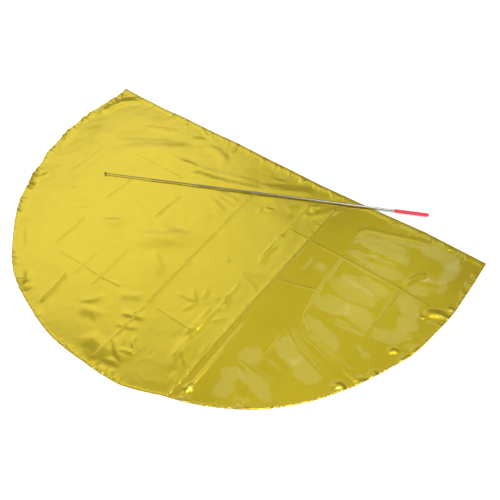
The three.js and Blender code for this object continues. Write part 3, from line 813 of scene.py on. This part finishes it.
def lift(panel, x, y):
    along, inset = near_edge(x, y)
    high = seam_lift(x, y) + hem_pucker(along, inset) + sleeve_pucker(x, y) + loose_lift(panel, x, y)
    for crease in CREASES:
        high += fold_lift(crease, x, y, sharp=True)
    for fold in FOLDS:
        high += fold_lift(fold, x, y, sharp=False)
    for patch in LEANING:
        high += leaning_lift(patch, x, y)
    for run in RUFFLES:
        high += ruffle_lift(run, along, inset)
    for swell in SWELLS:
        high += swell_lift(swell, x, y) * SWELL_SHARE[panel]
    high = (high + np.sqrt(high**2 + CLOTH["settle"])) / 2
    off = np.abs(near_route(rod_route, x, y)[0])
    cap = ROD_BED["top"] + ROD_BED["slope"] * np.maximum(0, off - ROD_BED["half"])
    return CLOTH["clear"] + np.maximum(0, np.minimum(high, cap - thickness(x, y) - CLOTH["clear"]))


# %% [markdown]
# ## Points for the mesh
# A regular grid would leave steps along the curved hem and blunt the creases. Instead, rows of points
# follow the hem, the seam, the sleeve and each crease closely, and a honeycomb of points fills the calm
# cloth between them. A Delaunay triangulation, bounded by the outline, then joins them all.


# %% Rows of points
class PointRows:
    """Collects points, and drops one that falls in a cell that already has one."""

    def __init__(self, cell):
        self.cell = cell
        self.taken = set()
        self.points = []

    def add(self, xs, ys, crowd=0):
        for x, y in zip(np.ravel(xs).tolist(), np.ravel(ys).tolist()):
            key = (int(x // self.cell), int(y // self.cell))
            nearby = range(-crowd, crowd + 1)
            if not self.taken.isdisjoint([(key[0] + i, key[1] + j) for i in nearby for j in nearby]):
                continue
            self.taken.add(key)
            self.points.append((x, y))


def rows_beside(route, offsets, step):
    """Places on lines that run beside a route at the given distances."""
    xs = []
    ys = []
    for (ax, ay), (bx, by) in zip(route, route[1:]):
        long = math.hypot(bx - ax, by - ay)
        t = np.linspace(0, 1, max(2, round(long / step)))
        for number, off in enumerate(offsets):
            tt = np.clip(t + (number % 2) * step / long / 2, 0, 1)
            xs.append(ax + (bx - ax) * tt - (by - ay) / long * off)
            ys.append(ay + (by - ay) * tt + (bx - ax) / long * off)
    return np.concatenate(xs), np.concatenate(ys)


HEM_ROWS = (1.2, 2.6, 4.0, 5.4, 6.6, 8.4, 11.0, 14.5, 19.0, 24.0)
SEAM_ROWS = (1.6, 3.6, 6.4, 10.0, 14.5)
SLEEVE_ROWS = (2.0, 5.0, 9.5, 14.5, 19.5, 22.5, 24.5, 26.5, 30.0)
CREASE_ROWS = (-7.0, -3.2, 0.0, 3.2, 7.0)
HEM_STEP = {"near": 3.2, "far": 4.4, "turns_at": 12}
SLEEVE_STEP = 4.4
SEAM_STEP = 4.0
CREASE_STEP = 0.9
HONEYCOMB = 0.866
CROWDED = 0.42
RIM_CLEAR = 0.6
END_CLEAR = 2


def edge_span(left, right):
    """Where a panel's part of the curved edge starts and ends."""
    start = 0.0 if left < 0 else along_at_x(left)
    end = EDGE_LENGTH if right > SEAM["x"] else along_at_x(right)
    return start, end


def panel_ring(left, right, step):
    """The outline of one panel, anticlockwise, starting at the left end of its straight edge."""
    start, end = edge_span(left, right)
    along = np.linspace(start, end, round((end - start) / step))
    x, y = edge_point(along, 0)
    curved = list(zip(x.tolist(), y.tolist()))
    bottom = curved[-1][1] if left < 0 else curved[0][1]
    seam_x = right if left < 0 else left
    seam = [(seam_x, v) for v in np.linspace(bottom, 0, round(-bottom / step))[1:-1].tolist()]
    top = [(v, 0.0) for v in np.linspace(right, left, round((right - left) / step)).tolist()]
    if left < 0:
        return curved + seam + top[:-1]
    return curved + top[1:] + seam[::-1]


def panel_points(left, right, fill):
    """Points along the hem, the sleeve, the seam and the creases, then the honeycomb between them."""
    rows = PointRows(fill * CROWDED)
    start, end = edge_span(left, right)
    for number, inset in enumerate(HEM_ROWS):
        step = HEM_STEP["near"] if inset < HEM_STEP["turns_at"] else HEM_STEP["far"]
        along = np.arange(start + END_CLEAR + (number % 2) * step / 2, end - END_CLEAR, step)
        rows.add(*edge_point(along, inset))
    for number, down in enumerate(SLEEVE_ROWS):
        x = np.arange(left + END_CLEAR + (number % 2) * SLEEVE_STEP / 2, right - 1.5, SLEEVE_STEP)
        rows.add(x, np.full(x.shape, -down))
    side = 1 if left > 0 else -1
    seam_x = left if left > 0 else right
    for number, off in enumerate(SEAM_ROWS):
        y = np.arange(-END_CLEAR - (number % 2) * SEAM_STEP / 2, -SIDE - RADIUS, -SEAM_STEP)
        rows.add(np.full(y.shape, seam_x + side * off), y)
    for crease in CREASES:
        rows.add(*rows_beside(crease["route"], CREASE_ROWS, fill * CREASE_STEP))
    first = -SLEEVE_ROWS[-1] - 2
    for line, y in enumerate(np.arange(first, -SIDE - RADIUS, -fill * HONEYCOMB)):
        x = np.arange(left + (line % 2) * fill / 2, right, fill)
        rows.add(x, np.full(x.shape, y), crowd=1)
    return rows.points


def keep_inside(points, left, right):
    x, y = np.array(points).T
    _, inset = near_edge(x, y)
    good = (inset > RIM_CLEAR) & (y < -RIM_CLEAR) & (x > left + RIM_CLEAR) & (x < right - RIM_CLEAR)
    return np.column_stack([x[good], y[good]]).tolist()


# %% [markdown]
# ## From points to a sheet of cloth
# The triangles give the top of the sheet. The underside repeats them a cloth's thickness lower, and a
# narrow wall closes the rim, so that the sheet is one closed body, as thin as a mesh of cloth should be.


# %% Triangulate, lift and close one panel
INSIDE_ONLY = 1
SAME_PLACE = 1e-4


def panel_mesh(name, left, right, fill, rim_step):
    ring = panel_ring(left, right, rim_step)
    inner = keep_inside(panel_points(left, right, fill), left, right)
    edges = [(i, (i + 1) % len(ring)) for i in range(len(ring))]
    flat = [Vector(p) for p in ring + inner]
    places, _, faces, *_ = delaunay_2d_cdt(flat, edges, [], INSIDE_ONLY, SAME_PLACE)
    x, y = np.array([tuple(p) for p in places]).T
    faces = np.array(faces, int)
    ax, bx, cx = x[faces].T
    ay, by, cy = y[faces].T
    twice_area = (bx - ax) * (cy - ay) - (cx - ax) * (by - ay)
    turned = twice_area < 0
    faces[turned] = faces[turned][:, ::-1]
    under = lift(name, x, y)
    top = under + thickness(x, y)
    count = len(x)
    wx, wy = world_xy(x, y + bow(x, y))
    layers = [np.column_stack([wx, wy, high * MM]) for high in (top, under)]
    sides = np.concatenate([faces[:, [0, 1]], faces[:, [1, 2]], faces[:, [2, 0]]])
    keys = set(map(tuple, sides.tolist()))
    rim = [(a, b) for a, b in keys if (b, a) not in keys]
    walls = [(a, a + count, b + count, b) for a, b in rim]
    mesh = bpy.data.meshes.new(name + "_cloth")
    polygons = faces.tolist() + (faces[:, ::-1] + count).tolist() + walls
    mesh.from_pydata(np.concatenate(layers).tolist(), [], polygons)
    mesh.shade_smooth()
    sheet = add_object(name + "_cloth", mesh)
    area = float(np.abs(twice_area).sum()) / 2 * MM**2
    print(name, "points", count, "triangles", 2 * len(faces) + 2 * len(walls), "area", round(area, 4))
    return sheet, area


MAIN = {"left": -RADIUS, "right": SEAM["x"] - SEAM["gap"] / 2}
ACROSS = {"left": SEAM["x"] + SEAM["gap"] / 2, "right": RADIUS}
main_cloth, main_area = panel_mesh("main_panel", **MAIN, fill=6.0, rim_step=3.6)
side_cloth, side_area = panel_mesh("side_panel", **ACROSS, fill=4.2, rim_step=3.2)

# %% [markdown]
# ## Lame
# Lame is woven with flat metal-coated threads. From a step away it is a satin metal: warm yellow all
# through, with a soft sheen. The side panel's threads run the other way, so it looks darker and mirrors
# the lamps more clearly. Both get their own colour, a fine weave, and a slight clouding of colour.
# The cloth itself is one colour: the side panel's darker base colour is painted shade for its weaker sheen.


# %% Small helpers for materials
def new_material(name):
    """A new material, its nodes and links, its shader, and the places on its object."""
    material = bpy.data.materials.new(name)
    material.use_nodes = True
    nodes = material.node_tree.nodes
    place = nodes.new("ShaderNodeTexCoord").outputs["Object"]
    return material, nodes, material.node_tree.links, nodes["Principled BSDF"], place


def noise(nodes, links, source, scale, detail, rough=0.5):
    texture = nodes.new("ShaderNodeTexNoise")
    texture.inputs["Scale"].default_value = scale
    texture.inputs["Detail"].default_value = detail
    texture.inputs["Roughness"].default_value = rough
    links.new(source, texture.inputs["Vector"])
    return texture.outputs["Fac"]


def ramp(nodes, links, value, low, high, first, last):
    """Colour or grey that goes from first to last as value goes from low to high."""
    spread = nodes.new("ShaderNodeValToRGB")
    spread.color_ramp.elements[0].position = low
    spread.color_ramp.elements[0].color = (*first, 1)
    spread.color_ramp.elements[1].position = high
    spread.color_ramp.elements[1].color = (*last, 1)
    links.new(value, spread.inputs["Fac"])
    return spread.outputs["Color"]


def span(nodes, links, value, low, high, first, last):
    """Number that goes from first to last as value goes from low to high."""
    mapped = nodes.new("ShaderNodeMapRange")
    mapped.inputs["From Min"].default_value = low
    mapped.inputs["From Max"].default_value = high
    mapped.inputs["To Min"].default_value = first
    mapped.inputs["To Max"].default_value = last
    links.new(value, mapped.inputs["Value"])
    return mapped.outputs["Result"]


def bump(nodes, links, height, distance, strength, under=None):
    node = nodes.new("ShaderNodeBump")
    node.inputs["Strength"].default_value = strength
    node.inputs["Distance"].default_value = distance
    links.new(height, node.inputs["Height"])
    if under is not None:
        links.new(under, node.inputs["Normal"])
    return node.outputs["Normal"]


# %% [markdown]
# ## The two finishes
# Each is a metal under a clear coat, and its colour and roughness change a little from place to place. The
# roughness stays at 0.28 or more, because just below that, renders show grain and dark specks. Bump
# adds only what is too fine for the mesh: the threads and the smallest crinkles.

# %% Lame materials
LAME = {
    "lame_bright": {
        "dark": (0.81, 0.63, 0.030), "light": (0.86, 0.67, 0.036), "metal": 0.88, "rough": (0.28, 0.32),
        "coat": 0.5, "coat_rough": 0.12, "weave_turn": 0.0, "crinkle": 0.15,
    },
    # The side panel's darker base colour is painted shade for the weaker sheen of its turned weave; the cloth
    # itself is one colour.
    "lame_across": {
        "dark": (0.71, 0.535, 0.014), "light": (0.77, 0.575, 0.017), "metal": 0.85, "rough": (0.28, 0.33),
        "coat": 1.0, "coat_rough": 0.03, "weave_turn": math.pi / 2, "crinkle": 0.10,
    },
}
WEAVE_PITCH = 0.0006


def make_lame(name):
    facts = LAME[name]
    material, nodes, links, shader, place = new_material(name)
    clouds = noise(nodes, links, place, 9.0, 3.0)
    patches = noise(nodes, links, place, 28.0, 4.0, 0.6)
    colour = ramp(nodes, links, clouds, 0.1, 0.9, facts["dark"], facts["light"])
    links.new(colour, shader.inputs["Base Color"])
    low, high = facts["rough"]
    links.new(span(nodes, links, patches, 0.2, 0.8, low, high), shader.inputs["Roughness"])
    shader.inputs["Metallic"].default_value = facts["metal"]
    shader.inputs["Coat Weight"].default_value = facts["coat"]
    shader.inputs["Coat Roughness"].default_value = facts["coat_rough"]
    turn = nodes.new("ShaderNodeMapping")
    turn.inputs["Rotation"].default_value = (0, 0, facts["weave_turn"])
    links.new(place, turn.inputs["Vector"])
    threads = nodes.new("ShaderNodeTexWave")
    threads.bands_direction = "X"
    threads.inputs["Scale"].default_value = 1 / WEAVE_PITCH / 20
    threads.inputs["Distortion"].default_value = 0.6
    links.new(turn.outputs["Vector"], threads.inputs["Vector"])
    crinkle = noise(nodes, links, place, 170.0, 3.0, 0.55)
    weave = bump(nodes, links, threads.outputs["Fac"], 0.00004, 0.25)
    links.new(bump(nodes, links, crinkle, 0.0004, facts["crinkle"], weave), shader.inputs["Normal"])
    return material


lame_bright = make_lame("lame_bright")
lame_across = make_lame("lame_across")
main_cloth.data.materials.append(lame_bright)
side_cloth.data.materials.append(lame_across)
print("cloth finishes:", lame_bright.name, lame_across.name)

# %% [markdown]
# ## Stitches
# A lockstitch machine leaves a row of short thread beads. Geometry Nodes walks along each sewing line and
# sets one bead every few millimetres, turned along the line. The lines themselves are laid on the cloth
# by the same height functions, so that the thread follows every ruffle.

# %% Sewing lines on the cloth
STITCH = {
    "pitch": 4.2, "long": 3.0, "thick": 0.65, "inset": 5.3, "sleeve": 20.5, "seam": 2.4, "sunk": 0.05,
    "seeds": {"main_panel": 5, "side_panel": 6},
}


def sewing_lines(left, right):
    """Rows of (x, y): along the hem, near the sleeve's foot, and beside the seam."""
    start, end = edge_span(left, right)
    step = STITCH["pitch"] / 2
    hem = edge_point(np.arange(start + 4, end - 4, step), STITCH["inset"])
    x = np.arange(left + 8, right - 8, step)
    sleeve = (x, np.full(x.shape, -STITCH["sleeve"]))
    seam_x = SEAM["x"] + (STITCH["seam"] if left > 0 else -STITCH["seam"])
    y = np.arange(-4, min(hem[1][0], hem[1][-1]) + 6, -step)
    return [hem, sleeve, (np.full(y.shape, seam_x), y)]


def line_object(panel, lines, material):
    verts = []
    edges = []
    for x, y in lines:
        first = len(verts)
        z = lift(panel, x, y) + thickness(x, y) - STITCH["sunk"]
        wx, wy = world_xy(x, y + bow(x, y))
        verts += np.column_stack([wx, wy, z * MM]).tolist()
        edges += [(i, i + 1) for i in range(first, len(verts) - 1)]
    mesh = bpy.data.meshes.new(panel + "_sewing")
    mesh.from_pydata(verts, edges, [])
    mesh.materials.append(material)
    return add_object(panel + "_sewing", mesh)


# %% [markdown]
# ## The stitch tree
# The tree turns the lines into points at even distances and sets a bead on each, a little bigger or
# smaller by a random number with a fixed seed. A bead has few faces, as there are well over a thousand.
# Real geometry was chosen over a painted dash, since thread catches the light from every side.

# %% Stitch tree
def stitch_tree(material):
    tree = bpy.data.node_groups.new("stitches", "GeometryNodeTree")
    face = tree.interface
    face.new_socket("Geometry", in_out="INPUT", socket_type="NodeSocketGeometry")
    sockets = {}
    for name, kind, value in (
        ("Pitch", "NodeSocketFloat", STITCH["pitch"] * MM),
        ("Length", "NodeSocketFloat", STITCH["long"] * MM),
        ("Thickness", "NodeSocketFloat", STITCH["thick"] * MM),
        ("Seed", "NodeSocketInt", STITCH["seeds"]["main_panel"]),
    ):
        socket = face.new_socket(name, in_out="INPUT", socket_type=kind)
        socket.default_value = value
        sockets[name] = socket.identifier
    face.new_socket("Geometry", in_out="OUTPUT", socket_type="NodeSocketGeometry")
    nodes = tree.nodes
    links = tree.links
    start = nodes.new("NodeGroupInput")
    curve = nodes.new("GeometryNodeMeshToCurve")
    points = nodes.new("GeometryNodeCurveToPoints")
    points.mode = "LENGTH"
    bead = nodes.new("GeometryNodeMeshIcoSphere")
    bead.inputs["Radius"].default_value = 0.5
    bead.inputs["Subdivisions"].default_value = 1
    shape = nodes.new("ShaderNodeCombineXYZ")
    aim = nodes.new("FunctionNodeAlignRotationToVector")
    aim.axis = "X"
    vary = nodes.new("FunctionNodeRandomValue")
    vary.data_type = "FLOAT"
    vary.inputs[2].default_value = 0.85
    vary.inputs[3].default_value = 1.15
    grow = nodes.new("ShaderNodeVectorMath")
    grow.operation = "SCALE"
    place = nodes.new("GeometryNodeInstanceOnPoints")
    real = nodes.new("GeometryNodeRealizeInstances")
    finish = nodes.new("GeometryNodeSetMaterial")
    finish.inputs["Material"].default_value = material
    end = nodes.new("NodeGroupOutput")
    for source, target in (
        (start.outputs["Geometry"], curve.inputs["Mesh"]),
        (curve.outputs["Curve"], points.inputs["Curve"]),
        (start.outputs["Pitch"], points.inputs["Length"]),
        (start.outputs["Length"], shape.inputs["X"]),
        (start.outputs["Thickness"], shape.inputs["Y"]),
        (start.outputs["Thickness"], shape.inputs["Z"]),
        (points.outputs["Tangent"], aim.inputs["Vector"]),
        (start.outputs["Seed"], vary.inputs["Seed"]),
        (shape.outputs["Vector"], grow.inputs[0]),
        (vary.outputs[1], grow.inputs["Scale"]),
        (points.outputs["Points"], place.inputs["Points"]),
        (bead.outputs["Mesh"], place.inputs["Instance"]),
        (aim.outputs["Rotation"], place.inputs["Rotation"]),
        (grow.outputs["Vector"], place.inputs["Scale"]),
        (place.outputs["Instances"], real.inputs["Geometry"]),
        (real.outputs["Geometry"], finish.inputs["Geometry"]),
        (finish.outputs["Geometry"], end.inputs["Geometry"]),
    ):
        links.new(source, target)
    return tree, sockets


def make_thread(name, first, last):
    material, nodes, links, shader, place = new_material(name)
    twist = noise(nodes, links, place, 900.0, 2.0)
    links.new(ramp(nodes, links, twist, 0.3, 0.7, first, last), shader.inputs["Base Color"])
    shader.inputs["Roughness"].default_value = 0.55
    shader.inputs["Sheen Weight"].default_value = 0.2
    links.new(bump(nodes, links, twist, 0.0003, 0.4), shader.inputs["Normal"])
    return material


def sew(panel, left, right):
    lines = line_object(panel, sewing_lines(left, right), thread)
    sewing = lines.modifiers.new("stitches", "NODES")
    sewing.node_group = tree
    sewing[sockets["Pitch"]] = STITCH["pitch"] * MM
    sewing[sockets["Seed"]] = STITCH["seeds"][panel]
    graph = bpy.context.evaluated_depsgraph_get()
    mesh = bpy.data.meshes.new_from_object(lines.evaluated_get(graph))
    mesh.materials.clear()
    mesh.materials.append(thread)
    stitches = add_object(panel + "_stitches", mesh)
    bpy.data.objects.remove(lines)
    print(stitches.name, "faces", len(mesh.polygons))
    return stitches


# The thread's dark gold-brown is partly its own colour and partly painted shade for the shadow in the hem's
# fold beside the stitching.
thread = make_thread("thread_with_painted_shade", (0.34, 0.17, 0.012), (0.46, 0.25, 0.02))
tree, sockets = stitch_tree(thread)
main_stitches = sew("main_panel", **MAIN)
side_stitches = sew("side_panel", **ACROSS)

# %% [markdown]
# ## Steel and vinyl
# The rod is drawn stainless steel, bright and a little brushed along its length. The grip is dipped vinyl
# in a warm red, satin, with the faint orange-peel skin that dipping leaves.


# %% Rod materials
def make_steel():
    material, nodes, links, shader, place = new_material("drawn_steel")
    stretch = nodes.new("ShaderNodeMapping")
    stretch.inputs["Rotation"].default_value = (0, 0, -ROD["yaw"])
    stretch.inputs["Scale"].default_value = (6, 900, 900)
    links.new(place, stretch.inputs["Vector"])
    streaks = noise(nodes, links, stretch.outputs["Vector"], 1.0, 2.0)
    links.new(ramp(nodes, links, streaks, 0.3, 0.7, (0.33, 0.32, 0.31), (0.39, 0.38, 0.37)),
              shader.inputs["Base Color"])
    links.new(span(nodes, links, streaks, 0.3, 0.7, 0.28, 0.32), shader.inputs["Roughness"])
    shader.inputs["Metallic"].default_value = 1.0
    links.new(bump(nodes, links, streaks, 0.00004, 0.1), shader.inputs["Normal"])
    return material


def make_vinyl():
    material, nodes, links, shader, place = new_material("red_vinyl")
    clouds = noise(nodes, links, place, 60.0, 3.0)
    peel = noise(nodes, links, place, 700.0, 2.0)
    links.new(ramp(nodes, links, clouds, 0.3, 0.7, (0.80, 0.030, 0.062), (0.90, 0.050, 0.085)),
              shader.inputs["Base Color"])
    links.new(span(nodes, links, clouds, 0.3, 0.7, 0.42, 0.52), shader.inputs["Roughness"])
    links.new(bump(nodes, links, peel, 0.0002, 0.2), shader.inputs["Normal"])
    return material


def dress(node, material):
    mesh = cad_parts[node].data
    mesh.materials.clear()
    mesh.materials.append(material)


steel = make_steel()
for node in ("tube_1", "tube_2", "tube_3", "tube_4", "tube_5", "tube_6", "tip_knob"):
    dress(node, steel)
dress("grip", make_vinyl())
print("rod dressed:", steel.name)

# %% [markdown]
# ## Swap the solid panels for the sheets
# The two solid panels are hidden, and the two fine sheets and their stitches ride on one body, flag, in their
# place.

# %% Hide the solids and attach the sheets
for cloth, stitches, node, slot, area, width in (
    (main_cloth, main_stitches, "main_panel", "lame_bright", main_area, MAIN["right"] - MAIN["left"]),
    (side_cloth, side_stitches, "side_panel", "lame_across", side_area, ACROSS["right"] - ACROSS["left"]),
):
    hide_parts(node)
    for piece in (cloth, stitches):
        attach(piece, "flag")
